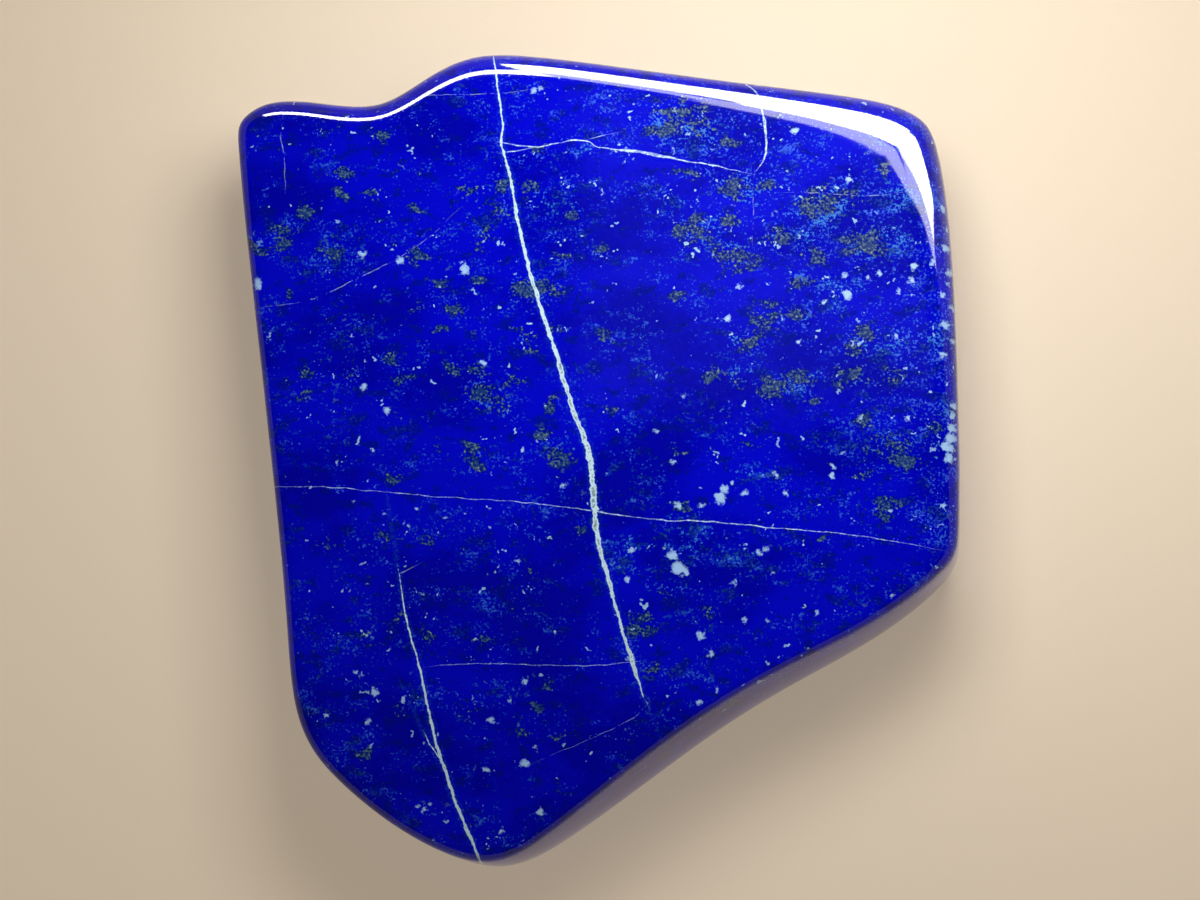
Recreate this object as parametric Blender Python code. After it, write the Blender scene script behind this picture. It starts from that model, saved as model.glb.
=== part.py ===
"""A polished freeform slab of lapis lazuli, one stone, lying on its back with its polished face up.

+X is to the right and +Y is up the face, seen from above. The origin is under the middle of the slab,
on the surface that it rests on.
"""

import math

import bmesh
import bpy
from mathutils import Vector, noise

MM = 0.001

# Driving dimensions
THICKNESS = 20.0 * MM
FACE_CROWN = 0.7 * MM
FACE_WAVE = 0.10 * MM
WALL_BELLY = 0.35 * MM
WALL_WAVE = 0.50 * MM
WAVE_LENGTH = 24.0 * MM
FACE_MARGIN = 4.0 * MM
BACK_ROLL = 4.0 * MM
BACK_RIM_LIFT = 0.9 * MM
BACK_DOME_LIFT = 0.25 * MM
BACK_DOME_WIDTH = 5.0 * MM
FLAT_SPOT_MARGIN = 10.0 * MM

# The rim of the face, anticlockwise from the lower right corner. Each station has x and y, how far the roll
# from the face into the wall reaches in from the rim, how far it reaches down the wall, and how far the foot
# of the wall stands out past the rim, in millimetres.
RIGHT_SIDE = [
    (42.0, -15.0, 2.0, 2.0, 0.6),
    (43.5, -8.0, 2.4, 2.4, 0.0),
    (43.7, 6.0, 2.8, 2.9, -0.8),
    (43.5, 21.2, 3.6, 3.8, -1.4),
    (42.6, 33.4, 5.4, 4.8, -1.8),
]
TOP_SIDE = [
    (40.5, 40.6, 7.4, 5.0, -2.0),
    (34.6, 43.0, 6.0, 4.4, -2.0),
    (22.0, 44.6, 3.7, 3.8, -1.8),
    (5.0, 47.2, 3.2, 3.3, -1.6),
    (-8.0, 49.4, 3.5, 3.5, -1.6),
    (-15.2, 49.6, 3.8, 3.7, -1.5),
    (-21.0, 46.8, 3.5, 3.3, -1.2),
    (-25.8, 43.3, 3.2, 3.0, -1.0),
    (-32.2, 43.5, 3.0, 2.8, -1.2),
    (-39.4, 44.6, 2.9, 2.7, -1.6),
]
LEFT_SIDE = [
    (-44.0, 42.0, 2.5, 2.3, -1.8),
    (-43.8, 35.2, 1.9, 1.9, -1.6),
    (-41.8, 20.0, 1.6, 1.6, -1.2),
    (-39.4, 2.0, 1.6, 1.6, -1.0),
    (-37.2, -16.0, 1.6, 1.6, -1.2),
]
LOWER_SIDE = [
    (-35.5, -31.7, 1.6, 1.6, -1.6),
    (-31.4, -38.5, 1.6, 1.6, -1.6),
    (-22.7, -45.5, 1.6, 1.6, -1.0),
    (-13.3, -49.4, 1.6, 1.6, 0.4),
    (-6.2, -46.9, 1.5, 1.5, 0.9),
    (5.0, -38.0, 1.4, 1.4, 1.7),
    (18.0, -29.0, 1.4, 1.4, 1.6),
    (32.0, -22.2, 1.6, 1.6, 1.0),
]
SIDES = [RIGHT_SIDE, TOP_SIDE, LEFT_SIDE, LOWER_SIDE]

# The mesh
CELLS = 14
ROLL_STEPS = 3
LEAST_SLANT = 0.7
SMOOTHING_PASSES = 12
BACK_ROUNDING = (1, 4, 8)
SUBDIVISIONS = 1

LAPIS_BLUE = (0.004, 0.010, 0.420, 1.0)


def between(a, b, c, d, t):
    """The Catmull-Rom curve from b to c, t of the way along."""
    return tuple(
        q
        + 0.5 * t * (r - p)
        + t * t * (p - 2.5 * q + 2.0 * r - 0.5 * s)
        + t * t * t * (-0.5 * p + 1.5 * q - 1.5 * r + 0.5 * s)
        for p, q, r, s in zip(a, b, c, d)
    )


def rim_stations():
    """Evenly many stations on each of the four sides, as (point, reach in, reach down, lean), in metres."""
    stations = [station for side in SIDES for station in side]
    count = len(stations)
    samples = []
    first = 0
    for side in SIDES:
        for step in range(CELLS):
            place = first + step * len(side) / CELLS
            whole = math.floor(place)
            near = [stations[(whole + offset) % count] for offset in (-1, 0, 1, 2)]
            x, y, *sizes = between(*near, place - whole)
            samples.append((Vector((x, y)) * MM, *[size * MM for size in sizes]))
        first += len(side)
    return samples


def outward(samples):
    """The direction square to the rim at each sample."""
    points = [sample[0] for sample in samples]
    normals = []
    for i, point in enumerate(points):
        along = points[(i + 1) % len(points)] - points[i - 1]
        normals.append(Vector((along.y, -along.x)).normalized())
    return normals


def roll_angles(descending):
    """The steps of a quarter turn, from upright to level or back."""
    angles = [math.radians(90.0 * step / ROLL_STEPS) for step in range(ROLL_STEPS + 1)]
    return angles[::-1] if descending else angles


def wave(x, y, z):
    """A slow unevenness between about -1 and 1."""
    return noise.noise(Vector((x, y, z)) / WAVE_LENGTH)


def face_height(x, y):
    """The polished face: nearly flat, a little crowned, a little uneven."""
    crown = FACE_CROWN * (x * x + y * y) / (45.0 * MM) ** 2
    return THICKNESS - crown + FACE_WAVE * wave(x, y, 0.0)


def section(point, reach_in, reach_down, lean, normal):
    """The cut through the rim at one station, from the face over the wall to the flat spot, as points.

    Places are measured towards the middle of the slab, and those of the roll halfway between that and square
    to the rim, so that the inner rings don't cross at the tight corners.
    """
    top = face_height(point.x, point.y)
    foot = BACK_RIM_LIFT + BACK_ROLL
    uneven = WALL_WAVE * wave(point.x, point.y, THICKNESS)
    away = point.normalized()
    away = away / max(away.dot(normal), LEAST_SLANT)
    square = 0.5 * (normal + away)
    inner = point - square * reach_in - away * FACE_MARGIN
    cut = [(inner, face_height(inner.x, inner.y))]
    for angle in roll_angles(descending=True):
        inset = reach_in * (1.0 - math.cos(angle))
        cut.append((point - square * inset, top - reach_down * (1.0 - math.sin(angle))))
    cut.append((point + away * (0.5 * lean + WALL_BELLY + uneven), 0.5 * (top - reach_down + foot)))
    for angle in roll_angles(descending=False):
        out = lean - BACK_ROLL * (1.0 - math.cos(angle))
        cut.append((point + away * out, foot - BACK_ROLL * math.sin(angle)))
    cut.append((point + away * (lean - BACK_ROLL - BACK_DOME_WIDTH), BACK_DOME_LIFT))
    cut.append((point + away * (lean - BACK_ROLL - FLAT_SPOT_MARGIN), 0.0))
    return [Vector((place.x, place.y, height)) for place, height in cut]


def next_ring(bm, ring):
    """Extrudes a ring of vertices and returns the new ring, in the same order."""
    edges = [bm.edges.get((ring[i - 1], ring[i])) for i in range(len(ring))]
    made = bmesh.ops.extrude_edge_only(bm, edges=edges)["geom"]
    fresh = {v for v in made if isinstance(v, bmesh.types.BMVert)}
    return [next(e.other_vert(v) for e in v.link_edges if e.other_vert(v) in fresh) for v in ring]


def relax(ring, passes):
    """Rounds off a ring of vertices in plan."""
    for _ in range(passes):
        places = [v.co.copy() for v in ring]
        for i, v in enumerate(ring):
            middle = 0.5 * (places[i - 1] + places[(i + 1) % len(ring)])
            v.co.xy = 0.5 * (places[i] + middle).xy


def fill(bm, ring, height):
    """Closes a ring with a square grid, evens it out and lays it at height(x, y)."""
    before = set(bm.verts)
    rails = []
    for first in (0, 2 * CELLS):
        rails += [bm.edges.get((ring[first + i], ring[(first + i + 1) % len(ring)])) for i in range(CELLS)]
    bmesh.ops.grid_fill(bm, edges=rails, use_smooth=True)
    inner = [v for v in bm.verts if v not in before]
    for _ in range(SMOOTHING_PASSES):
        bmesh.ops.smooth_vert(bm, verts=inner, factor=0.5, use_axis_x=True, use_axis_y=True)
    for v in inner:
        v.co.z = height(v.co.x, v.co.y)


def stone_mesh():
    """The stone's cage: rings from the face down the wall to the back, closed by a grid at each end."""
    samples = rim_stations()
    normals = outward(samples)
    cuts = [section(*sample, normal) for sample, normal in zip(samples, normals)]
    bm = bmesh.new()
    ring = bmesh.ops.create_circle(bm, segments=len(samples), radius=THICKNESS)["verts"]
    rings = [ring]
    for _ in cuts[0][1:]:
        rings.append(next_ring(bm, rings[-1]))
    for level, ring in enumerate(rings):
        for v, cut in zip(ring, cuts):
            v.co = cut[level]
    for ring, passes in zip(rings[-3:], BACK_ROUNDING):
        relax(ring, passes)
    fill(bm, rings[0], face_height)
    fill(bm, rings[-1], lambda x, y: 0.0)
    bmesh.ops.recalc_face_normals(bm, faces=bm.faces)
    mesh = bpy.data.meshes.new("lapis_stone")
    bm.to_mesh(mesh)
    bm.free()
    return mesh


def polished_lapis():
    """The stone's colour and gloss."""
    material = bpy.data.materials.new("polished_lapis")
    material.use_nodes = True
    shader = material.node_tree.nodes["Principled BSDF"]
    shader.inputs["Base Color"].default_value = LAPIS_BLUE
    shader.inputs["Roughness"].default_value = 0.12
    shader.inputs["Metallic"].default_value = 0.0
    material.diffuse_color = LAPIS_BLUE
    return material


def centre(stone):
    """Moves the stone so that the middle of its outline is at the origin."""
    smooth = stone.evaluated_get(bpy.context.evaluated_depsgraph_get())
    places = [v.co for v in smooth.to_mesh().vertices]
    for axis in (0, 1):
        values = [place[axis] for place in places]
        stone.location[axis] = -0.5 * (min(values) + max(values))
    smooth.to_mesh_clear()


def build():
    for thing in list(bpy.data.objects):
        bpy.data.objects.remove(thing)
    mesh = stone_mesh()
    mesh.materials.append(polished_lapis())
    mesh.shade_smooth()
    stone = bpy.data.objects.new("lapis_stone", mesh)
    bpy.context.scene.collection.objects.link(stone)
    smooth = stone.modifiers.new("Smooth", "SUBSURF")
    smooth.levels = SUBDIVISIONS
    smooth.render_levels = SUBDIVISIONS
    centre(stone)


build()
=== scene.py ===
"""A polished freeform slab of lapis lazuli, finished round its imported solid, on a pale studio floor.

+X is to the right and +Y is up the face, seen from above, and +Z is out of the face. Lengths are in metres.
Marks on the face are placed in millimetres from the middle of the slab, as is everything in its material.
"""

import math
import random

import bmesh
import bpy
from mathutils import Matrix, Vector, kdtree, noise


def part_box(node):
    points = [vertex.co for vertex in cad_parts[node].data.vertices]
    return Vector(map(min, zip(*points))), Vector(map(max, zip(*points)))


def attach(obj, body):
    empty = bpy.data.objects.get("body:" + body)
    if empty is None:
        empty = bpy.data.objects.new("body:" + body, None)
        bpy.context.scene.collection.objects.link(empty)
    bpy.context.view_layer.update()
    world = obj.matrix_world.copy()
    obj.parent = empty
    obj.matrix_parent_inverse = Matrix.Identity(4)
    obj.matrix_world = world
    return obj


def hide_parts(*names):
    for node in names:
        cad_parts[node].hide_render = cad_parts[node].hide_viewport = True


bl_info = {
    "name": "Lapis Lazuli Slab",
    "version": (1, 0, 0),
    "blender": (4, 5, 0),
    "location": "3D View > Sidebar > Lapis",
    "description": "Makes a polished freeform slab of lapis lazuli and the studio that it is shown in",
    "category": "Add Mesh",
}

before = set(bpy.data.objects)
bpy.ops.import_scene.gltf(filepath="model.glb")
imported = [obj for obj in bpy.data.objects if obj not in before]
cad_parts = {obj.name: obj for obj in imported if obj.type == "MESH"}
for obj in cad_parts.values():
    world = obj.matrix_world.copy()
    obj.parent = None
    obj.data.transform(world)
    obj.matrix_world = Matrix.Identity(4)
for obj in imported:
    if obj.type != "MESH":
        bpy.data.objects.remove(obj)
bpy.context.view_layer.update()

MM = 0.001

# The rim of the face, anticlockwise from the lower right corner. Each station has x and y, how far the roll
# from the face into the wall reaches in from the rim, how far it reaches down the wall, and how far the foot
# of the wall stands out past the rim, in millimetres.
RIGHT_SIDE = [
    (42.0, -15.0, 2.0, 2.0, 0.6),
    (43.5, -8.0, 2.4, 2.4, 0.0),
    (43.7, 6.0, 2.8, 2.9, -0.8),
    (43.5, 21.2, 3.6, 3.8, -1.4),
    (42.6, 33.4, 5.4, 4.8, -1.8),
]
TOP_SIDE = [
    (40.5, 40.6, 7.4, 5.0, -2.0),
    (34.6, 43.0, 6.0, 4.4, -2.0),
    (22.0, 44.6, 3.7, 3.8, -1.8),
    (5.0, 47.2, 3.2, 3.3, -1.6),
    (-8.0, 49.4, 3.5, 3.5, -1.6),
    (-15.2, 49.6, 3.8, 3.7, -1.5),
    (-21.0, 46.8, 3.5, 3.3, -1.2),
    (-25.8, 43.3, 3.2, 3.0, -1.0),
    (-32.2, 43.5, 3.0, 2.8, -1.2),
    (-39.4, 44.6, 2.9, 2.7, -1.6),
]
LEFT_SIDE = [
    (-44.0, 42.0, 2.5, 2.3, -1.8),
    (-43.8, 35.2, 1.9, 1.9, -1.6),
    (-41.8, 20.0, 1.6, 1.6, -1.2),
    (-39.4, 2.0, 1.6, 1.6, -1.0),
    (-37.2, -16.0, 1.6, 1.6, -1.2),
]
LOWER_SIDE = [
    (-35.5, -31.7, 1.6, 1.6, -1.6),
    (-31.4, -38.5, 1.6, 1.6, -1.6),
    (-22.7, -45.5, 1.6, 1.6, -1.0),
    (-13.3, -49.4, 1.6, 1.6, 0.4),
    (-6.2, -46.9, 1.5, 1.5, 0.9),
    (5.0, -38.0, 1.4, 1.4, 1.7),
    (18.0, -29.0, 1.4, 1.4, 1.6),
    (32.0, -22.2, 1.6, 1.6, 1.0),
]
SIDES = [RIGHT_SIDE, TOP_SIDE, LEFT_SIDE, LOWER_SIDE]
CELLS = 14
ROLL_STEPS = 3
LEAST_SLANT = 0.7
SMOOTHING_PASSES = 12
BACK_ROUNDING = (1, 4, 8)

# Veins, as x, y and width in millimetres. The ends have no width, so that the vein pinches out there.
BROAD_VEINS = [
    [
        (-12.0, 52.0, 0.0),
        (-11.3, 45.3, 0.24),
        (-10.5, 39.6, 0.26),
        (-10.6, 37.0, 0.36),
        (-9.4, 32.1, 0.38),
        (-8.4, 26.5, 0.44),
        (-7.2, 21.5, 0.45),
        (-5.3, 15.3, 0.49),
        (-3.5, 9.8, 0.55),
        (-1.7, 3.7, 0.62),
        (-0.1, -0.5, 0.66),
        (0.7, -7.7, 0.74),
        (1.1, -11.3, 0.59),
        (2.5, -16.6, 0.46),
        (4.3, -23.1, 0.32),
        (5.1, -25.5, 0.50),
        (6.0, -28.4, 0.20),
        (7.0, -31.0, 0.0),
    ],
    [
        (-22.8, -14.0, 0.0),
        (-22.3, -17.0, 0.17),
        (-21.8, -20.0, 0.22),
        (-21.0, -22.9, 0.22),
        (-20.0, -26.3, 0.24),
        (-18.8, -31.8, 0.34),
        (-17.9, -35.3, 0.40),
        (-16.9, -38.2, 0.40),
        (-15.7, -41.7, 0.34),
        (-14.2, -45.2, 0.36),
        (-12.7, -48.9, 0.34),
        (-11.6, -52.0, 0.0),
    ],
    [(-19.6, -33.6, 0.0), (-18.9, -35.0, 0.19), (-17.6, -36.8, 0.22), (-17.0, -38.4, 0.0)],
]
FINE_VEINS = [
    [
        (-43.0, -4.2, 0.0),
        (-36.9, -4.4, 0.11),
        (-31.2, -4.6, 0.13),
        (-25.1, -5.2, 0.11),
        (-20.3, -5.7, 0.11),
        (-13.0, -6.3, 0.13),
        (-7.0, -6.8, 0.11),
        (0.1, -7.8, 0.15),
        (8.4, -9.0, 0.16),
        (13.1, -9.2, 0.17),
        (20.2, -9.9, 0.16),
        (28.4, -10.7, 0.13),
        (36.5, -11.9, 0.11),
        (43.0, -13.2, 0.0),
    ],
    [
        (-11.6, 37.6, 0.0),
        (-10.4, 37.4, 0.16),
        (-8.4, 37.0, 0.18),
        (-6.0, 36.7, 0.20),
        (-3.6, 37.2, 0.17),
        (-0.5, 37.4, 0.18),
        (1.3, 36.5, 0.18),
        (6.2, 35.8, 0.32),
        (8.2, 35.4, 0.40),
        (11.0, 34.7, 0.18),
        (15.8, 33.7, 0.17),
        (20.4, 32.6, 0.0),
    ],
    [(-11.3, 36.0, 0.0), (-10.2, 36.2, 0.13), (-8.4, 36.4, 0.15), (-6.0, 36.8, 0.0)],
    [(-0.8, 37.4, 0.0), (1.3, 37.9, 0.11), (4.6, 38.5, 0.0)],
    [
        (18.8, 46.0, 0.0),
        (19.4, 44.4, 0.24),
        (20.5, 43.0, 0.25),
        (21.0, 40.9, 0.29),
        (21.4, 38.1, 0.33),
        (21.5, 36.3, 0.29),
        (21.2, 34.7, 0.26),
        (19.8, 32.6, 0.0),
    ],
    [
        (-20.8, -26.2, 0.0),
        (-14.1, -25.8, 0.11),
        (-5.8, -26.0, 0.10),
        (1.3, -26.1, 0.10),
        (4.6, -25.7, 0.10),
        (6.6, -25.6, 0.0),
    ],
]
FAINT_VEINS = [
    [(7.2, -30.4, 0.0), (4.8, -32.5, 0.07), (0.7, -34.4, 0.06), (-5.0, -36.8, 0.0)],
    [(-40.5, 17.6, 0.0), (-32.8, 18.7, 0.11), (-27.3, 21.3, 0.11), (-20.6, 24.9, 0.08), (-15.6, 29.4, 0.0)],
    [(19.6, 33.2, 0.0), (19.8, 29.0, 0.09), (19.6, 23.6, 0.0)],
    [(-24.0, 43.8, 0.0), (-17.1, 43.7, 0.08), (-10.9, 43.7, 0.08), (-6.0, 44.2, 0.0)],
    [(-37.6, 42.6, 0.0), (-38.0, 39.0, 0.10), (-37.4, 35.3, 0.08), (-37.3, 30.6, 0.0)],
    [(-23.4, -15.4, 0.0), (-22.0, -14.8, 0.09), (-20.4, -14.0, 0.0)],
    [(23.4, 30.4, 0.0), (28.0, 30.2, 0.10), (34.0, 29.8, 0.10), (38.6, 30.4, 0.0)],
]

# Pale blebs on the face, as x, y and radius in millimetres
BLEBS = [
    (-15.1, 21.7, 0.60), (16.1, -5.4, 0.52), (15.6, -6.6, 0.70), (10.0, -13.3, 0.66),
    (10.6, -14.7, 0.82), (4.9, -25.3, 0.42), (17.0, -4.6, 0.30), (11.4, -15.2, 0.50),
    (-27.2, 7.5, 0.44), (-24.3, 4.6, 0.42), (-30.4, -1.7, 0.22), (-12.7, 10.2, 0.42),
    (-28.2, -6.5, 0.20), (-24.6, -7.9, 0.20), (-20.5, -7.3, 0.22), (-17.2, -8.5, 0.18),
    (-11.7, -9.6, 0.20), (-3.0, -4.9, 0.28), (-7.9, -0.4, 0.22), (-19.9, -17.4, 0.20),
    (-8.4, -13.7, 0.24), (-6.9, 44.0, 0.35), (-6.0, 44.0, 0.30), (-23.0, 22.9, 0.42),
    (-27.7, 23.9, 0.40), (24.8, 38.0, 0.42), (31.3, 31.9, 0.45), (38.7, 21.0, 0.44),
    (38.4, 19.3, 0.42), (30.8, 17.7, 0.50), (28.0, 16.8, 0.34), (30.5, 20.1, 0.30),
    (34.6, 20.3, 0.36), (33.2, 19.7, 0.30), (36.8, 18.0, 0.28), (18.0, 19.0, 0.24),
    (16.6, 15.2, 0.36), (25.0, 12.1, 0.34), (36.5, 12.7, 0.26), (37.6, 2.8, 0.40),
    (28.7, -4.0, 0.38), (28.9, -2.9, 0.24), (22.1, -4.0, 0.36), (13.4, -7.3, 0.36),
    (11.3, 5.8, 0.20), (8.0, 1.5, 0.24), (10.1, -2.1, 0.32), (41.7, -7.7, 0.34),
    (23.3, -6.0, 0.32), (18.5, -5.9, 0.30), (20.0, -12.9, 0.34), (20.9, -12.6, 0.30),
    (21.6, -15.4, 0.20), (17.0, -16.5, 0.26), (35.4, -18.0, 0.24), (-25.4, -29.1, 0.50),
    (-27.9, -26.7, 0.30), (-27.0, -26.9, 0.24), (-31.2, -31.7, 0.34), (-22.0, -30.0, 0.34),
    (-26.1, -32.5, 0.32), (-11.5, -32.4, 0.46), (-6.3, -35.7, 0.28), (-7.5, -37.4, 0.42),
    (-12.0, -38.2, 0.36), (-5.7, -43.1, 0.46), (-10.2, -45.3, 0.30), (-20.2, -42.4, 0.20),
    (-19.4, -42.7, 0.24), (-18.8, -42.2, 0.18), (-9.2, -30.1, 0.30), (-7.5, -27.9, 0.34),
    (13.1, -22.7, 0.46), (14.2, -24.8, 0.32), (18.3, -20.9, 0.26), (21.0, -20.9, 0.20),
    (26.7, -20.0, 0.28), (13.0, -30.5, 0.30), (15.0, -28.9, 0.24), (10.6, -7.3, 0.40),
    (8.9, -12.3, 0.20), (5.1, -12.6, 0.34), (4.4, -15.9, 0.36), (42.2, -0.6, 0.75),
    (42.6, -2.0, 0.60), (42.9, 3.2, 0.45), (42.0, 10.4, 0.40), (42.3, 14.0, 0.45),
    (42.0, 17.6, 0.40), (41.0, 21.6, 0.34), (-40.6, 20.6, 0.60), (-15.4, 22.6, 0.16),
    (-39.0, 14.0, 0.18), (42.7, 0.4, 0.70), (42.9, 1.7, 0.55), (43.1, 4.4, 0.45),
    (43.2, 12.2, 0.35), (43.2, 16.2, 0.40), (43.0, 20.6, 0.50), (42.7, 23.6, 0.50),
    (43.0, 26.0, 0.40), (42.3, 28.6, 0.45), (42.6, 31.4, 0.40), (12.2, 46.0, 0.30),
    (20.4, 44.7, 0.30), (26.6, 43.9, 0.35), (31.4, 43.2, 0.40), (-5.8, 49.0, 0.28),
]

# Clusters of pyrite grains on the face, as x, y and radius in millimetres
PYRITE = [
    (-25.5, 38.5, 1.0), (-30.5, 34.0, 1.2), (-26.5, 31.5, 1.2), (-30.5, 31.5, 1.0), (-14.5, 31.5, 1.3),
    (-10.5, 32.0, 1.2), (-7.0, 31.5, 1.2), (-21.5, 29.5, 1.0), (-35.0, 29.5, 1.1), (-37.5, 26.5, 1.7),
    (-39.0, 24.5, 1.3), (-31.5, 24.5, 1.3), (-21.0, 23.5, 1.4), (-10.5, 29.0, 1.2), (-12.5, 26.0, 1.3),
    (-13.5, 24.5, 0.9), (-3.0, 23.0, 0.9), (1.5, 23.5, 1.0), (-7.5, 19.0, 2.2), (-4.5, 19.0, 1.2),
    (-18.5, 20.0, 1.0), (-16.0, 17.0, 1.3), (-21.0, 17.0, 0.9), (-36.5, 19.0, 0.8), (-13.5, 20.5, 0.8),
    (-3.5, 14.5, 0.9), (-18.0, 14.5, 1.0), (-8.0, 14.0, 1.2), (-6.0, 36.5, 1.0), (11.0, 40.5, 2.9),
    (8.0, 38.5, 1.4), (13.5, 38.5, 1.5), (17.0, 36.5, 1.0), (12.0, 33.0, 1.2), (18.0, 31.0, 2.2),
    (21.5, 31.5, 1.2), (17.0, 27.0, 1.4), (12.0, 26.0, 2.5), (22.5, 25.0, 1.3), (28.0, 29.0, 2.8),
    (31.5, 29.5, 1.3), (35.5, 33.0, 1.0), (33.0, 24.0, 2.4), (27.0, 22.5, 1.4), (17.5, 22.5, 2.4),
    (25.5, 19.5, 1.2), (11.0, 18.0, 1.2), (21.5, 15.5, 2.0), (25.5, 15.0, 1.3), (-34.0, 9.0, 1.0),
    (-34.5, 6.5, 1.0), (-28.5, 9.0, 1.0), (-24.5, 11.0, 1.1), (-22.5, 9.0, 1.3), (-17.0, 9.5, 1.3),
    (-13.5, 9.0, 1.2), (-9.0, 8.5, 1.2), (-12.5, 6.5, 2.1), (-10.5, 4.5, 1.3), (-14.0, -0.5, 1.2),
    (-13.5, -2.0, 1.0), (-7.0, 12.5, 1.2), (2.0, 13.0, 0.9), (-4.5, 5.0, 1.1), (-5.5, 1.5, 0.9),
    (-3.5, -1.0, 1.8), (-18.5, 0.5, 0.8), (-23.5, -3.5, 0.8), (-31.5, -11.5, 0.9), (-25.0, -10.5, 0.8),
    (-19.0, -11.5, 0.8), (-1.5, -10.0, 0.7), (-7.0, -14.5, 0.8), (33.0, 13.0, 1.5), (31.5, 11.0, 1.2),
    (14.5, 8.0, 1.4), (17.5, 7.5, 1.2), (21.5, 6.5, 1.6), (25.0, 7.5, 1.5), (31.0, 8.0, 1.9),
    (36.0, 8.0, 1.2), (18.5, 12.5, 1.8), (16.0, 4.0, 0.9), (26.5, 5.0, 0.9), (32.5, 2.5, 1.0),
    (40.5, 1.5, 1.1), (35.5, -1.0, 2.3), (37.5, -3.0, 1.6), (32.5, -4.0, 1.1), (20.5, 0.0, 1.0),
    (18.5, -0.5, 0.9), (10.5, -1.0, 0.8), (14.5, -1.0, 0.8), (11.0, -7.5, 0.8), (35.0, -8.0, 1.8),
    (3.0, 4.5, 0.7), (17.0, -11.0, 0.7), (9.0, -17.5, 0.8), (14.5, -20.0, 0.9), (27.5, -11.5, 0.7),
    (-7.5, -34.0, 0.9), (-3.5, -34.5, 0.9), (-6.0, -31.0, 0.8), (-14.5, -31.5, 0.8), (-4.5, -28.5, 0.7),
    (7.5, -26.5, 0.9), (-22.5, -31.0, 0.7), (-26.5, -36.5, 0.9), (-32.5, -31.5, 0.8), (-26.5, -22.5, 0.9),
    (-22.5, -20.0, 0.9), (-12.5, -22.5, 0.7), (-19.0, -22.5, 0.8), (6.0, -21.3, 1.8), (-2.0, 28.5, 0.9),
]

# Patches of light blue haze on the face, as x, y and radius in millimetres
HAZE = [
    (5.5, -12.0, 3.2), (3.3, -14.8, 2.2), (-6.0, -24.7, 1.0), (-0.5, 36.0, 1.4), (10.2, 29.5, 2.0),
    (25.4, 25.0, 2.0), (-4.0, 29.5, 2.4), (11.5, -11.0, 4.4), (42.5, -1.0, 2.6), (43.0, 4.0, 2.0),
    (42.5, 13.0, 3.4), (15.5, 25.5, 3.0), (28.5, 28.5, 4.2), (35.5, 24.0, 3.6), (34.5, 12.0, 3.2),
    (17.5, 10.0, 3.6), (34.5, -1.0, 3.4), (12.0, 38.5, 4.0), (19.5, 31.0, 3.2), (38.5, 30.0, 4.0),
    (-31.0, 24.5, 3.2), (-38.5, 25.5, 2.4), (24.5, 7.0, 3.2), (36.0, 36.5, 4.0), (20.0, -4.0, 3.0),
    (-7.5, 19.0, 2.6), (-12.0, 5.5, 2.4), (30.0, 18.0, 3.4), (18.0, -13.5, 3.0), (-3.5, -0.5, 2.0),
]

# How many times as wide as tall the larger clouds and the patches are
STRETCH = 1.5

# The share of a pyrite cluster's radius at which its depth reaches 0
FRINGE = 0.95

# The height of the face, the furthest that a vein's curve can stray from its chord, and how far a vein leans
# sideways for each millimetre below the face, in millimetres
FACE_LEVEL = 20.0
VEIN_SWING = 8.0
VEIN_LEAN = 0.12

# The listed blebs give way to scattered ones between these heights, and the scattered ones lie in cells this
# wide. A bleb that is this far outside leaves no trace. All are in millimetres.
FACE_EDGE = (15.5, 16.5)
BLEB_CELL = 5.0
FAR_OUTSIDE = 9.0

# More patches on the wall and the back: how many, their radii in millimetres, the share of the guesses that
# start level with the back, and how high they may lie as a share of the slab's height
HIDDEN_PATCHES = 200
HIDDEN_SEED = 7
HIDDEN_RADII = (0.8, 2.4)
BACK_GUESSES = 0.5
HIDDEN_TOP = 0.93

# How far from its middle the face has fallen by its whole crown
CROWN_REACH = 45.0 * MM

# The panels that show in the polish stand this far away, in metres. Each has its name, the bearing that it
# stands square to, the bearings of its right and left ends, and its low and high elevation, in degrees.
PANEL_DISTANCE = 0.5
WINDOW_PANELS = [
    ("window", 78.0, 50.0, 84.0, 24.0, 55.5),
    ("low_window", 45.0, 84.0, 98.0, 32.0, 60.0),
    ("left_window", 78.0, 98.0, 121.0, 45.0, 54.0),
    ("right_window", 95.0, 22.0, 50.0, 34.0, 61.2),
]
CEILING_PANELS = [
    ("ceiling", 68.0, 50.0, 88.0, 55.5, 61.3),
    ("right_ceiling", 95.0, 24.0, 50.0, 61.2, 67.9),
    ("left_ceiling", 45.0, 88.0, 100.0, 60.0, 65.0),
]

# The place, the target and the size of the two soft lights, in metres
LAMP = ((0.028, 0.062, 0.12), (0.028, 0.062, 0.0), (0.08, 0.08))
FILL = ((-0.1, -0.3, 0.6), (0.0, 0.0, 0.0), (0.5, 0.3))
DARK_SURROUND = (0.004, 0.004, 0.005, 1.0)

# The steps of the floor's curved edge and of its full turn
EDGE_STEPS = 8
FLOOR_STEPS = 96

# The point that the camera looks at, in millimetres
AIM = (1.25, -0.44, 19.0)


def colour(name, description, value):
    """A colour setting, in linear light."""
    return bpy.props.FloatVectorProperty(
        name=name, description=description, subtype="COLOR", size=4, min=0.0, max=1.0, default=(*value, 1.0)
    )


def length(name, description, value):
    """A length setting, in metres."""
    return bpy.props.FloatProperty(name=name, description=description, unit="LENGTH", default=value)


def amount(name, description, value):
    """A plain number setting."""
    return bpy.props.FloatProperty(name=name, description=description, default=value)


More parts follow.
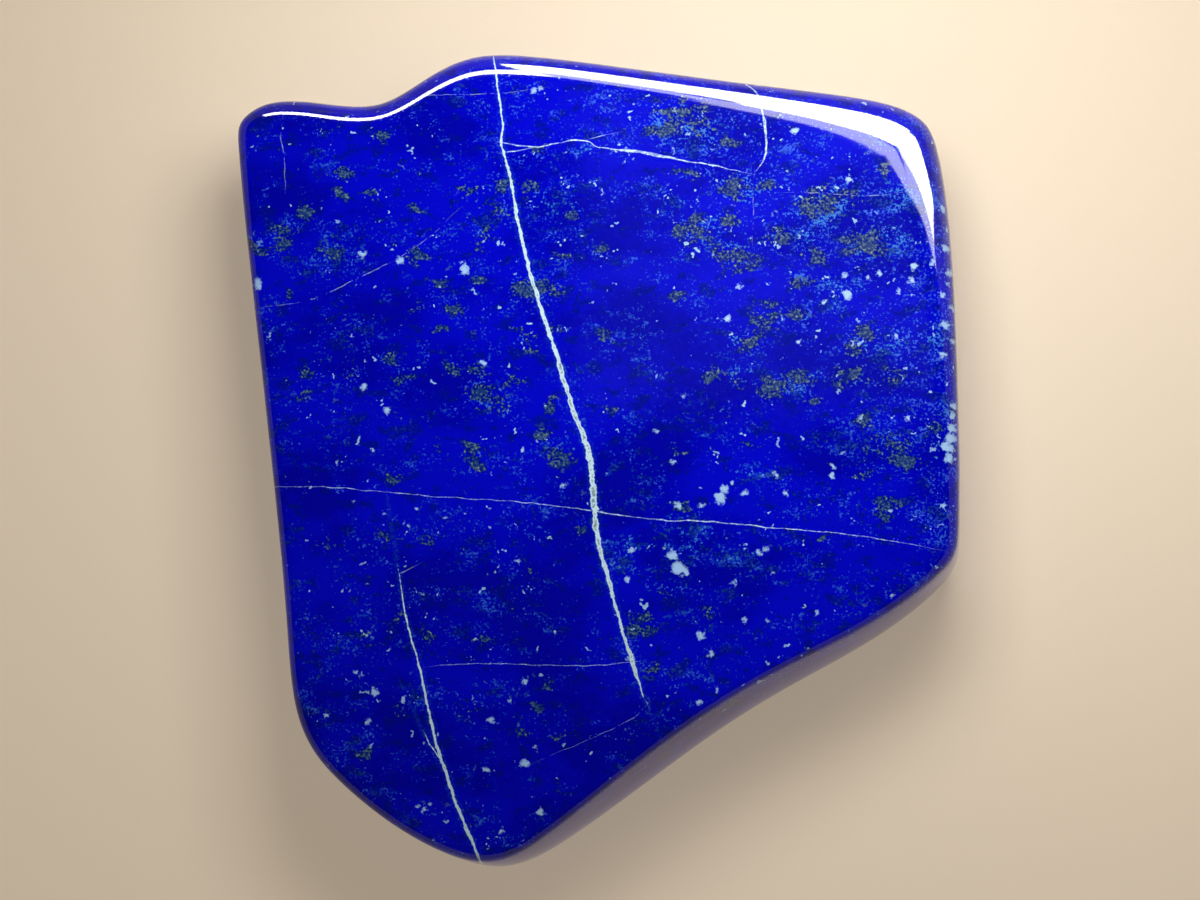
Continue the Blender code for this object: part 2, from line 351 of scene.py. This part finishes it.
class StoneSettings(bpy.types.PropertyGroup):
    """The sizes of the slab."""

    thickness: length("Thickness", "Height of the middle of the face", round(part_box("lapis_stone")[1].z, 3))
    crown: length("Crown", "How far the face falls from its middle to its rim", 0.7 * MM)
    face_wave: length("Face wave", "Slow unevenness of the polished face", 0.10 * MM)
    wall_belly: length("Wall belly", "How far the wall bulges at mid height", 0.35 * MM)
    wall_wave: length("Wall wave", "Slow unevenness of the wall", 0.50 * MM)
    wave_length: length("Wave length", "Width of the slow unevenness", 24.0 * MM)
    hand_polish: length("Hand polish", "Depth of the small unevenness left by hand polishing", 0.012 * MM)
    hand_width: length("Hand polish width", "Width of the small unevenness", 5.0 * MM)
    face_margin: length("Face margin", "Width of the first ring of the face inside the roll", 4.0 * MM)
    back_roll: length("Back roll", "Radius of the roll from the wall into the back", 4.0 * MM)
    back_rim_lift: length("Back rim lift", "Height of the back where its roll ends", 0.9 * MM)
    back_dome_lift: length("Back dome lift", "Height of the back halfway to the flat spot", 0.25 * MM)
    back_dome_width: length("Back dome width", "Width of the domed strip of the back", 5.0 * MM)
    flat_spot_margin: length("Flat spot margin", "Distance from the back roll to the flat spot", 10.0 * MM)
    fineness: bpy.props.IntProperty(
        name="Fineness", description="How many times the slab's cage is divided", default=3, min=1, max=3
    )


class FinishSettings(bpy.types.PropertyGroup):
    """The colours and the polish of the stone."""

    deep_blue: colour("Deep blue", "The main ultramarine", (0.0006, 0.0008, 0.40))
    bright_blue: colour("Bright blue", "The lighter clouds in the blue", (0.0012, 0.0020, 0.52))
    night_blue: colour("Night blue", "The darker clouds in the blue", (0.0006, 0.0008, 0.23))
    sky_blue: colour("Sky blue", "Fine pale blue dust", (0.04, 0.11, 0.66))
    teal: colour("Teal", "Hazy patches round the pyrite", (0.02, 0.13, 0.45))
    cyan: colour("Cyan", "Light dust in the haze", (0.05, 0.20, 0.56))
    lavender: colour("Lavender", "The fine veins", (0.36, 0.43, 0.88))
    calcite: colour("Calcite", "The broad veins", (0.48, 0.66, 0.76))
    calcite_core: colour("Calcite core", "The greyer middle of the broad veins", (0.17, 0.26, 0.30))
    pale: colour("Pale", "The pale blebs and most small grains", (0.32, 0.52, 0.80))
    olive: colour("Olive", "Fine grained pyrite and the other small grains", (0.055, 0.115, 0.20))
    slate: colour("Slate", "The mixed ground among the grains of pyrite", (0.005, 0.030, 0.15))
    shade: colour("Shade", "The dark ground round the pyrite", (0.0003, 0.0040, 0.17))
    gold: colour("Gold", "The brightest grains of pyrite", (0.20, 0.25, 0.23))
    polish: bpy.props.FloatProperty(
        name="Polish",
        description="Roughness of the blue stone",
        subtype="FACTOR",
        default=0.05,
        min=0.0,
        max=1.0,
    )


class StudioSettings(bpy.types.PropertyGroup):
    """The floor, the lights and the camera."""

    floor: colour("Floor", "The studio floor and its raised edge", (0.55, 0.46, 0.35))
    floor_glow: amount("Floor glow", "Glow of the floor itself", 0.5)
    floor_reach: length("Floor reach", "Radius of the level floor", 0.9)
    floor_edge: length("Floor edge", "How far out and up the edge of the floor curves", 0.5)
    window: amount("Window", "Glow of the window in the polish", 28.0)
    ceiling: amount("Ceiling", "Glow above the window", 7.5)
    lamp: amount("Lamp", "Power of the soft lamp, in watts", 0.205)
    fill: amount("Fill", "Power of the fill light, in watts", 0.35)
    distance: length("Camera distance", "From the camera to the middle of the picture", 0.300)
    azimuth: bpy.props.FloatProperty(
        name="Azimuth", description="Bearing of the camera", subtype="ANGLE", default=math.radians(32.0)
    )
    elevation: bpy.props.FloatProperty(
        name="Elevation", description="Height of the camera", subtype="ANGLE", default=math.radians(80.0)
    )
    lens: amount("Lens", "Focal length in millimetres", 75.6)


def between(a, b, c, d, t):
    """The Catmull-Rom curve from b to c, t of the way along."""
    return tuple(
        q
        + 0.5 * t * (r - p)
        + t * t * (p - 2.5 * q + 2.0 * r - 0.5 * s)
        + t * t * t * (-0.5 * p + 1.5 * q - 1.5 * r + 0.5 * s)
        for p, q, r, s in zip(a, b, c, d)
    )


def rim_stations():
    """Evenly many stations on each of the four sides, as (point, reach in, reach down, lean), in metres."""
    stations = [station for side in SIDES for station in side]
    count = len(stations)
    samples = []
    first = 0
    for side in SIDES:
        for step in range(CELLS):
            place = first + step * len(side) / CELLS
            whole = math.floor(place)
            near = [stations[(whole + offset) % count] for offset in (-1, 0, 1, 2)]
            x, y, *sizes = between(*near, place - whole)
            samples.append((Vector((x, y)) * MM, *[size * MM for size in sizes]))
        first += len(side)
    return samples


def outward(samples):
    """The direction square to the rim at each sample."""
    points = [sample[0] for sample in samples]
    normals = []
    for i, point in enumerate(points):
        along = points[(i + 1) % len(points)] - points[i - 1]
        normals.append(Vector((along.y, -along.x)).normalized())
    return normals


def roll_angles(descending):
    """The steps of a quarter turn, from upright to level or back."""
    angles = [math.radians(90.0 * step / ROLL_STEPS) for step in range(ROLL_STEPS + 1)]
    return angles[::-1] if descending else angles


def face_height(stone, x, y):
    """The polished face: nearly flat, a little crowned, a little uneven."""
    crown = stone.crown * (x * x + y * y) / CROWN_REACH**2
    return stone.thickness - crown + stone.face_wave * noise.noise(Vector((x, y, 0.0)) / stone.wave_length)


def section(stone, point, reach_in, reach_down, lean, normal):
    """The cut through the rim at one station, from the face over the wall to the flat spot, as points.

    Places are measured towards the middle of the slab, and those of the roll halfway between that and square
    to the rim, so that the inner rings don't cross at the tight corners.
    """
    top = face_height(stone, point.x, point.y)
    foot = stone.back_rim_lift + stone.back_roll
    uneven = stone.wall_wave * noise.noise(Vector((point.x, point.y, stone.thickness)) / stone.wave_length)
    away = point.normalized()
    away = away / max(away.dot(normal), LEAST_SLANT)
    square = 0.5 * (normal + away)
    inner = point - square * reach_in - away * stone.face_margin
    cut = [(inner, face_height(stone, inner.x, inner.y))]
    for angle in roll_angles(descending=True):
        inset = reach_in * (1.0 - math.cos(angle))
        cut.append((point - square * inset, top - reach_down * (1.0 - math.sin(angle))))
    cut.append((point + away * (0.5 * lean + stone.wall_belly + uneven), 0.5 * (top - reach_down + foot)))
    for angle in roll_angles(descending=False):
        out = lean - stone.back_roll * (1.0 - math.cos(angle))
        cut.append((point + away * out, foot - stone.back_roll * math.sin(angle)))
    edge = lean - stone.back_roll
    cut.append((point + away * (edge - stone.back_dome_width), stone.back_dome_lift))
    cut.append((point + away * (edge - stone.flat_spot_margin), 0.0))
    return [Vector((place.x, place.y, height)) for place, height in cut]


def next_ring(bm, ring):
    """Extrudes a ring of vertices and returns the new ring, in the same order."""
    edges = [bm.edges.get((ring[i - 1], ring[i])) for i in range(len(ring))]
    made = bmesh.ops.extrude_edge_only(bm, edges=edges)["geom"]
    fresh = {v for v in made if isinstance(v, bmesh.types.BMVert)}
    return [next(e.other_vert(v) for e in v.link_edges if e.other_vert(v) in fresh) for v in ring]


def relax(ring, passes):
    """Rounds off a ring of vertices in plan."""
    for _ in range(passes):
        places = [v.co.copy() for v in ring]
        for i, v in enumerate(ring):
            middle = 0.5 * (places[i - 1] + places[(i + 1) % len(ring)])
            v.co.xy = 0.5 * (places[i] + middle).xy


def fill(bm, ring, height):
    """Closes a ring with a square grid, evens it out and lays it at height(x, y)."""
    before = set(bm.verts)
    rails = []
    for first in (0, 2 * CELLS):
        rails += [bm.edges.get((ring[first + i], ring[(first + i + 1) % len(ring)])) for i in range(CELLS)]
    bmesh.ops.grid_fill(bm, edges=rails, use_smooth=True)
    inner = [v for v in bm.verts if v not in before]
    for _ in range(SMOOTHING_PASSES):
        bmesh.ops.smooth_vert(bm, verts=inner, factor=0.5, use_axis_x=True, use_axis_y=True)
    for v in inner:
        v.co.z = height(v.co.x, v.co.y)


def stone_cage(stone):
    """The stone's cage: rings from the face down the wall to the back, closed by a grid at each end."""
    samples = rim_stations()
    cuts = [section(stone, *sample, normal) for sample, normal in zip(samples, outward(samples))]
    bm = bmesh.new()
    ring = bmesh.ops.create_circle(bm, segments=len(samples), radius=stone.thickness)["verts"]
    rings = [ring]
    for _ in cuts[0][1:]:
        rings.append(next_ring(bm, rings[-1]))
    for level, ring in enumerate(rings):
        for v, cut in zip(ring, cuts):
            v.co = cut[level]
    for ring, passes in zip(rings[-3:], BACK_ROUNDING):
        relax(ring, passes)
    fill(bm, rings[0], lambda x, y: face_height(stone, x, y))
    fill(bm, rings[-1], lambda x, y: 0.0)
    bmesh.ops.recalc_face_normals(bm, faces=bm.faces)
    mesh = bpy.data.meshes.new("stone_cage")
    bm.to_mesh(mesh)
    bm.free()
    return mesh


def divided(mesh, levels):
    """A smooth, finely divided copy of a cage."""
    cage = bpy.data.objects.new("stone_cage", mesh)
    bpy.context.scene.collection.objects.link(cage)
    smooth = cage.modifiers.new("Smooth", "SUBSURF")
    smooth.levels = levels
    smooth.render_levels = levels
    ready = cage.evaluated_get(bpy.context.evaluated_depsgraph_get())
    fine = bpy.data.meshes.new_from_object(ready)
    bpy.data.objects.remove(cage)
    return fine


def hand_polish(stone, mesh):
    """Leaves the faint unevenness of hand polishing all over, and centres the slab on its solid's box."""
    bm = bmesh.new()
    bm.from_mesh(mesh)
    bm.normal_update()
    for v in bm.verts:
        v.co += v.normal * stone.hand_polish * noise.noise(v.co / stone.hand_width)
    low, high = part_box("lapis_stone")
    shift = Vector((0.0, 0.0, low.z - min(v.co.z for v in bm.verts)))
    for axis in (0, 1):
        values = [v.co[axis] for v in bm.verts]
        shift[axis] = 0.5 * (low[axis] + high[axis] - min(values) - max(values))
    bmesh.ops.translate(bm, verts=bm.verts, vec=shift)
    bm.to_mesh(mesh)
    bm.free()


def hidden_patches(mesh):
    """Places on the wall and the back where more patches lie, as (place, radius), in metres."""
    dice = random.Random(HIDDEN_SEED)
    tree = vertex_tree(mesh)
    low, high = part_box("lapis_stone")
    patches = []
    while len(patches) < HIDDEN_PATCHES:
        guess = [dice.uniform(low[axis], high[axis]) for axis in range(3)]
        if dice.random() < BACK_GUESSES:
            guess[2] = 0.0
        place = tree.find(guess)[0]
        if place.z < HIDDEN_TOP * high.z:
            patches.append((place, dice.uniform(*HIDDEN_RADII) * MM))
    return patches


def vertex_tree(mesh):
    """A search tree of the mesh's vertices."""
    tree = kdtree.KDTree(len(mesh.vertices))
    for v in mesh.vertices:
        tree.insert(v.co, v.index)
    tree.balance()
    return tree


def spread(mesh, name, patches):
    """Stores how deep each vertex lies in the patches: 0 outside them and 1 in the middle of one."""
    tree = vertex_tree(mesh)
    depths = [0.0] * len(mesh.vertices)
    for place, radius in patches:
        for spot, index, _ in tree.find_range(place, radius * STRETCH):
            offset = spot - place
            offset.x /= STRETCH
            depths[index] = max(depths[index], 1.0 - offset.length / radius)
    mesh.attributes.new(name, "FLOAT", "POINT").data.foreach_set("value", depths)


def on_face(stone, marks):
    """Marks given in millimetres, as (place, radius) on the face, in metres."""
    return [(Vector((x * MM, y * MM, face_height(stone, x * MM, y * MM))), r * MM) for x, y, r in marks]


class Wire:
    """An output socket of a material's nodes. Arithmetic on it adds Math nodes."""

    def __init__(self, recipe, socket):
        self.recipe = recipe
        self.socket = socket

    def __add__(self, other):
        return self.recipe.math("ADD", self, other)

    def __sub__(self, other):
        return self.recipe.math("SUBTRACT", self, other)

    def __rsub__(self, other):
        return self.recipe.math("SUBTRACT", other, self)

    def __mul__(self, other):
        return self.recipe.math("MULTIPLY", self, other)

    __radd__ = __add__
    __rmul__ = __mul__


class Recipe:
    """The nodes of one material."""

    def __init__(self, name):
        self.material = bpy.data.materials.new(name)
        self.material.use_nodes = True
        self.tree = self.material.node_tree
        self.shader = self.tree.nodes["Principled BSDF"]

    def add(self, kind, settings=None, sockets=None, out=0):
        """Adds a node: its settings first, then the values and wires of its sockets."""
        node = self.tree.nodes.new("ShaderNode" + kind)
        for name, value in (settings or {}).items():
            if name == "curve":
                self.bend(node.mapping, value)
            else:
                setattr(node, name, value)
        for name, value in (sockets or {}).items():
            self.plug(node.inputs[name], value)
        return Wire(self, node.outputs[out])

    def bend(self, mapping, stops):
        """Bends a curve through its stops."""
        points = mapping.curves[0].points
        for stop in stops[1:-1]:
            points.new(*stop)
        for point, stop in zip(points, sorted(stops)):
            point.location = stop
            point.handle_type = "AUTO_CLAMPED"
        mapping.update()

    def plug(self, socket, value):
        """Gives a socket a wire or a plain value."""
        if isinstance(value, Wire):
            self.tree.links.new(value.socket, socket)
        else:
            socket.default_value = value

    def math(self, operation, *values):
        """A Math node of one, two or three values."""
        return self.add("Math", {"operation": operation}, dict(enumerate(values)))

    def vector(self, operation, *values, out=0):
        """A Vector Math node."""
        return self.add("VectorMath", {"operation": operation}, dict(enumerate(values)), out)

    def rise(self, value, low, high, top=1.0):
        """A smooth step from 0 at low to top at high."""
        sockets = {"Value": value, "From Min": low, "From Max": high, "To Max": top}
        return self.add("MapRange", {"interpolation_type": "SMOOTHSTEP"}, sockets)

    def blend(self, share, below, above):
        """One colour laid over another by its share."""
        return self.add("Mix", {"data_type": "RGBA"}, {0: share, 6: below, 7: above}, 2)

    def cloud(self, place, size, shift=0.0, detail=2.0, roughness=0.5, stretch=1.0):
        """Noise above and below 0, whose lumps are size millimetres tall and stretch times as wide."""
        grain = (1.0 / (size * stretch), 1.0 / size, 1.0 / size)
        at = self.vector("MULTIPLY_ADD", place, grain, (shift, shift, shift))
        sockets = {"Vector": at, "Scale": 1.0, "Detail": detail, "Roughness": roughness}
        return self.math("MULTIPLY_ADD", self.add("TexNoise", {}, sockets), 13.0, -6.5)

    def cells(self, place, size):
        """Scattered cells about size millimetres wide: distance to the middle and three random numbers."""
        sockets = {"Vector": place, "Scale": 1.0 / size}
        distance = self.add("TexVoronoi", {}, sockets)
        chance = self.add("SeparateColor", {}, {0: Wire(self, distance.socket.node.outputs["Color"])})
        return [distance] + [Wire(self, socket) for socket in chance.socket.node.outputs]


def vein(recipe, place, ragged, stations):
    """How far inside a vein each point lies, in millimetres, negative outside it.

    The vein is measured along and across the line from its first station to its last.
    """
    first = Vector(stations[0][:2])
    chord = Vector(stations[-1][:2]) - first
    along = chord / chord.length_squared
    across = Vector((-chord.y, chord.x)).normalized()
    steps = [(Vector(station[:2]) - first, station[2]) for station in stations]
    course = [(step.dot(along), 0.5 + 0.5 * step.dot(across) / VEIN_SWING) for step, _ in steps]
    girth = [(step.dot(along), 0.5 * width) for step, width in steps]
    t = recipe.vector("DOT_PRODUCT", place, (*along, 0.0), out=1) - first.dot(along)
    side = recipe.vector("DOT_PRODUCT", place, (*across, 0.0), out=1) - first.dot(across)
    middle = (recipe.add("FloatCurve", {"curve": course}, {"Value": t}) - 0.5) * (2.0 * VEIN_SWING)
    half = recipe.add("FloatCurve", {"curve": girth}, {"Value": t})
    return half * ragged - recipe.math("ABSOLUTE", side - middle)


def widest(recipe, wires):
    """The largest of several values at each point."""
    largest = wires[0]
    for wire in wires[1:]:
        largest = recipe.math("MAXIMUM", largest, wire)
    return largest


def bleb(recipe, spot, x, y, radius):
    """How far inside a bleb each point lies, in millimetres, negative outside it."""
    return radius - recipe.vector("DISTANCE", spot, (x, y, 0.0), out=1)


def polished_lapis(finish):
    """The polished stone: clouded ultramarine with calcite veins and blebs, pyrite and fine pale grains."""
    recipe = Recipe("polished_lapis")
    rise = recipe.rise
    metres = recipe.add("TexCoord", out=3)
    place = recipe.add("VectorMath", {"operation": "SCALE"}, {0: metres, "Scale": 1.0 / MM})
    split = recipe.add("SeparateXYZ", {}, {0: place})
    x, y, z = [Wire(recipe, socket) for socket in split.socket.node.outputs]
    front = rise(z, *FACE_EDGE)
    pyrite_depth = recipe.add("Attribute", {"attribute_name": "pyrite"}, out=2)
    haze_depth = recipe.add("Attribute", {"attribute_name": "haze"}, out=2)

    # The blue and its clouds
    broad = recipe.cloud(place, 11.0, 3.0, stretch=STRETCH)
    small = recipe.cloud(place, 2.6, 11.0, detail=3.0, roughness=0.75, stretch=STRETCH)
    fine = recipe.cloud(place, 0.42, 23.0, detail=2.0, roughness=0.75)
    grit = recipe.cloud(place, 0.3, 57.0, detail=1.0)
    base = recipe.blend(rise(broad, -1.0, 1.6, 0.8), finish.deep_blue, finish.bright_blue)
    base = recipe.blend(rise(broad + small * 0.6, -0.2, -2.0, 0.5), base, finish.night_blue)

    # Patches of haze, and fine light dust in them, round the pyrite and towards the upper right
    side = rise(x * 0.6 + y * 0.8, 5.0, 52.0, 1.3) + rise(x, 35.0, 43.0, 1.1)
    mottle = rise(grit + fine, -1.2, 1.6, 0.8) + 0.2
    hazy = rise(haze_depth * 1.8 + small + fine * 0.8, 1.5, 3.8, 0.5) * mottle
    base = recipe.blend(hazy, base, finish.teal)
    dusty = grit * 1.1 + small * 0.8 + pyrite_depth * 2.4 + haze_depth * 1.1 + side * 0.8
    dust = rise(dusty, 2.35, 4.1, 0.75)
    murk = recipe.blend(rise(pyrite_depth + haze_depth, 0.1, 0.7), finish.sky_blue, finish.cyan)
    base = recipe.blend(dust, base, murk)

    # Pyrite: ragged clusters of fine grains in a darker ground
    lump = recipe.cloud(place, 1.5, 41.0, detail=1.0, stretch=STRETCH)
    gather = pyrite_depth * 3.6 + lump * 0.85 + small * 0.45 + fine * 0.45
    near = rise(pyrite_depth, 0.0, 0.2)
    base = recipe.blend(rise(gather + grit * 0.3, 0.9, 1.9) * (near * 0.25 + 0.7), base, finish.shade)
    presence = rise(gather + grit * 0.6, 1.6, 3.3, 0.9) * near
    speck = recipe.blend(rise(grit + fine * 0.5, -0.4, 2.5), finish.slate, finish.olive)
    base = recipe.blend(presence, base, speck)
    gleam = rise(grit + fine * 0.3, 2.6, 3.2) * presence
    base = recipe.blend(gleam, base, finish.gold)

    # Pale blebs, listed for the face and scattered elsewhere
    warp = recipe.add("TexNoise", {}, {"Vector": place, "Scale": 1.1, "Detail": 1.0}, 1)
    drift = recipe.vector("MULTIPLY_ADD", warp, (2.2, 2.2, 2.2), (-1.1, -1.1, -1.1))
    stirred = recipe.vector("ADD", place, drift)
    plan = recipe.vector("MULTIPLY", place, (1.0, 1.0, 0.0))
    spot = recipe.vector("MULTIPLY_ADD", drift, (0.4, 0.4, 0.0), plan)
    marks = widest(recipe, [bleb(recipe, spot, *mark) for mark in BLEBS])
    bleb_middle, bleb_chance, bleb_size, _ = recipe.cells(place, BLEB_CELL)
    scattered = bleb_size * 0.55 - bleb_middle * BLEB_CELL - rise(bleb_chance, 0.45, 0.46, FAR_OUTSIDE)
    marks = marks - (1.0 - front) * FAR_OUTSIDE
    marks = recipe.math("MAXIMUM", marks, scattered - front * FAR_OUTSIDE)
    marks = marks + fine * 0.06
    bleb_cover = rise(marks + grit * 0.04, -0.10, 0.14) * (rise(marks, 0.0, 0.3, 0.4) + 0.55)
    base = recipe.blend(bleb_cover, base, finish.pale)

    # Small grains, most of them pale
    dot_middle, dot_chance, dot_size, dot_tone = recipe.cells(stirred, 1.0)
    dots = rise(dot_size * dot_size * dot_size * 0.34 - dot_middle + fine * 0.04, 0.0, 0.08)
    dots = dots * recipe.math("GREATER_THAN", 0.4 + side * 0.45, dot_chance)
    grain = recipe.blend(rise(dot_tone, 0.3, 0.2), finish.pale, finish.olive)
    base = recipe.blend(dots * (dot_tone * 0.5 + 0.35), base, grain)

    # Veins, which run through the thickness of the slab
    bend_vector = recipe.add("TexNoise", {}, {"Vector": place, "Scale": 0.55, "Detail": 2.0}, 1)
    bend = recipe.vector("MULTIPLY_ADD", bend_vector, (0.4, 0.4, 0.0), (-0.2, -0.2, 0.0))
    lean = recipe.add("CombineXYZ", {}, {0: (FACE_LEVEL - z) * VEIN_LEAN})
    course = recipe.vector("ADD", recipe.vector("ADD", place, bend), lean)
    ragged = recipe.cloud(place, 1.0, 31.0) * 0.14 + 1.0
    broken = rise(lump + fine * 0.6, -0.9, 1.4, 0.6)
    thick = widest(recipe, [vein(recipe, course, ragged, stations) for stations in BROAD_VEINS])
    thin = widest(recipe, [vein(recipe, course, ragged, stations) for stations in FINE_VEINS])
    faint = widest(recipe, [vein(recipe, course, ragged, stations) for stations in FAINT_VEINS])
    fade = rise(fine + small * 0.6, -1.6, 1.2, 0.65) + 0.35
    faint_cover = rise(faint, -0.04, 0.06) * broken
    thin_cover = recipe.math("MAXIMUM", rise(thin, -0.01, 0.06) * fade, faint_cover)
    filling = recipe.blend(rise(thin, 0.0, 0.1), finish.lavender, finish.calcite)
    base = recipe.blend(thin_cover, base, filling)
    base = recipe.blend(rise(thick, -0.6, 0.0, 0.15) * rise(fine, -1.0, 1.0), base, finish.teal)
    thick_cover = rise(thick + fine * 0.02, -0.02, 0.08)
    core = rise(thick, 0.08, 0.30) * rise(grit + small * 0.7, -0.2, 2.0)
    body = recipe.blend(core, finish.calcite, finish.calcite_core)
    base = recipe.blend(thick_cover, base, body)

    # The polish, which is a little duller on the other minerals than on the blue
    mineral = widest(recipe, [thick_cover, bleb_cover, presence])
    sockets = {"Height": fine, "Strength": 0.1, "Distance": 0.0008 * MM}
    recipe.plug(recipe.shader.inputs["Normal"], recipe.add("Bump", {}, sockets))
    recipe.plug(recipe.shader.inputs["Base Color"], base)
    recipe.plug(recipe.shader.inputs["Roughness"], mineral * 0.12 + finish.polish)
    recipe.plug(recipe.shader.inputs["Metallic"], gleam * 0.15)
    recipe.material.diffuse_color = finish.deep_blue
    return recipe.material


def pale_floor(studio):
    """A plain matt floor that glows a little, as a light table does, which keeps the shadows soft."""
    recipe = Recipe("pale_floor")
    recipe.shader.inputs["Base Color"].default_value = studio.floor
    recipe.shader.inputs["Emission Color"].default_value = studio.floor
    recipe.shader.inputs["Emission Strength"].default_value = studio.floor_glow
    recipe.shader.inputs["Roughness"].default_value = 0.9
    recipe.shader.inputs["Specular IOR Level"].default_value = 0.1
    return recipe.material


def studio_floor(studio):
    """A round level floor whose edge curves up all round."""
    bm = bmesh.new()
    spoke = [bm.verts.new((0.0, 0.0, 0.0)), bm.verts.new((studio.floor_reach, 0.0, 0.0))]
    for step in range(1, EDGE_STEPS + 1):
        angle = math.radians(90.0 * step / EDGE_STEPS)
        out = studio.floor_reach + studio.floor_edge * math.sin(angle)
        spoke.append(bm.verts.new((out, 0.0, studio.floor_edge * (1.0 - math.cos(angle)))))
    spoke.append(bm.verts.new((spoke[-1].co.x, 0.0, 2.0 * studio.floor_edge)))
    edges = [bm.edges.new(pair) for pair in zip(spoke, spoke[1:])]
    bmesh.ops.spin(
        bm,
        geom=spoke + edges,
        cent=(0, 0, 0),
        axis=(0, 0, 1),
        angle=math.tau,
        steps=FLOOR_STEPS,
        use_merge=True,
    )
    bmesh.ops.remove_doubles(bm, verts=bm.verts, dist=0.1 * MM)
    bmesh.ops.recalc_face_normals(bm, faces=bm.faces)
    bmesh.ops.reverse_faces(bm, faces=bm.faces)
    mesh = bpy.data.meshes.new("studio_floor")
    bm.to_mesh(mesh)
    bm.free()
    mesh.shade_smooth()
    return mesh


def link(name, data):
    """Puts data in the scene as a named object."""
    thing = bpy.data.objects.new(name, data)
    bpy.context.scene.collection.objects.link(thing)
    return thing


def area_light(name, place, target, size, power):
    """A rectangular light at a place, facing a target."""
    light = bpy.data.lights.new(name, "AREA")
    light.shape = "RECTANGLE"
    light.size, light.size_y = size
    light.energy = power
    lamp = link(name, light)
    lamp.location = place
    lamp.rotation_euler = (Vector(target) - Vector(place)).to_track_quat("-Z", "Y").to_euler()
    return lamp


def glowing_panel(name, bearing, right, left, low, high, glow):
    """An upright panel of a given radiance that is seen only in the polish.

    It stands square to its bearing, which may lie outside the bearings from right to left that it spans. Low
    and high are elevations along its own bearing, and away from that they come lower.
    """
    ends = [PANEL_DISTANCE * math.tan(math.radians(end - bearing)) for end in (right, left)]
    foot, head = [PANEL_DISTANCE * math.tan(math.radians(angle)) for angle in (low, high)]
    turn = Matrix.Rotation(math.radians(bearing), 3, "Z")
    place = turn @ Vector((PANEL_DISTANCE, 0.5 * sum(ends), 0.5 * (foot + head)))
    size = (ends[1] - ends[0], head - foot)
    panel = area_light(name, place, place - turn.col[0], size, 4.0 * glow * size[0] * size[1])
    panel.visible_diffuse = False
    return panel


class LAPIS_OT_slab(bpy.types.Operator):
    """Make the polished slab"""

    bl_idname = "lapis.slab"
    bl_label = "Polished slab"

    def execute(self, context):
        stone = context.scene.lapis_stone
        cage = stone_cage(stone)
        mesh = divided(cage, stone.fineness)
        hand_polish(stone, mesh)
        hidden = hidden_patches(mesh)
        spread(mesh, "pyrite", [(place, FRINGE * r) for place, r in on_face(stone, PYRITE) + hidden[::2]])
        spread(mesh, "haze", on_face(stone, HAZE) + hidden[1::2])
        mesh.name = "polished_slab"
        mesh.shade_smooth()
        mesh.materials.clear()
        mesh.materials.append(polished_lapis(context.scene.lapis_finish))
        slab = link("polished_slab", mesh)
        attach(slab, "root")
        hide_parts("lapis_stone")
        return {"FINISHED"}


class LAPIS_OT_studio(bpy.types.Operator):
    """Make the floor, the lights and the camera"""

    bl_idname = "lapis.studio"
    bl_label = "Studio"

    def execute(self, context):
        studio = context.scene.lapis_studio
        mesh = studio_floor(studio)
        mesh.materials.append(pale_floor(studio))
        link("studio_floor", mesh)

        for panel in WINDOW_PANELS:
            glowing_panel(*panel, studio.window)
        for panel in CEILING_PANELS:
            glowing_panel(*panel, studio.ceiling)
        lamp = area_light("lamp", *LAMP, studio.lamp)
        lamp.visible_glossy = False
        soft_fill = area_light("fill", *FILL, studio.fill)
        soft_fill.visible_glossy = False

        world = bpy.data.worlds.new("studio")
        world.use_nodes = True
        world.node_tree.nodes["Background"].inputs["Color"].default_value = DARK_SURROUND
        context.scene.world = world
        context.scene.view_settings.view_transform = "Standard"

        back = Vector(
            (
                math.sin(studio.azimuth) * math.cos(studio.elevation),
                -math.cos(studio.azimuth) * math.cos(studio.elevation),
                math.sin(studio.elevation),
            )
        )
        up = (Vector((0.0, 1.0, 0.0)) - back * back.y).normalized()
        aim = Vector(AIM) * MM
        camera = link("camera", bpy.data.cameras.new("camera"))
        camera.data.lens = studio.lens
        camera.data.sensor_width = 36.0
        camera.data.clip_start = 0.01
        turn = Matrix((up.cross(back), up, back)).transposed().to_4x4()
        camera.matrix_world = Matrix.Translation(aim + back * studio.distance) @ turn
        context.scene.camera = camera
        return {"FINISHED"}


class LAPIS_PT_panel(bpy.types.Panel):
    """The steps that make the slab and its studio"""

    bl_idname = "LAPIS_PT_panel"
    bl_label = "Lapis Lazuli Slab"
    bl_space_type = "VIEW_3D"
    bl_region_type = "UI"
    bl_category = "Lapis"

    def draw(self, context):
        layout = self.layout
        for group, operator in SHEETS:
            settings = getattr(context.scene, group)
            for name in settings.bl_rna.properties.keys():
                if name not in ("rna_type", "name"):
                    layout.prop(settings, name)
            if operator:
                layout.operator(operator)


SHEETS = [("lapis_stone", None), ("lapis_finish", "lapis.slab"), ("lapis_studio", "lapis.studio")]
GROUPS = {"lapis_stone": StoneSettings, "lapis_finish": FinishSettings, "lapis_studio": StudioSettings}
CLASSES = [*GROUPS.values(), LAPIS_OT_slab, LAPIS_OT_studio, LAPIS_PT_panel]


def register():
    for made in CLASSES:
        bpy.utils.register_class(made)
    for name, group in GROUPS.items():
        setattr(bpy.types.Scene, name, bpy.props.PointerProperty(type=group))


def unregister():
    for name in GROUPS:
        delattr(bpy.types.Scene, name)
    for made in reversed(CLASSES):
        bpy.utils.unregister_class(made)


def main():
    register()
    bpy.ops.lapis.slab()
    bpy.ops.lapis.studio()


if __name__ == "__main__":
    main()
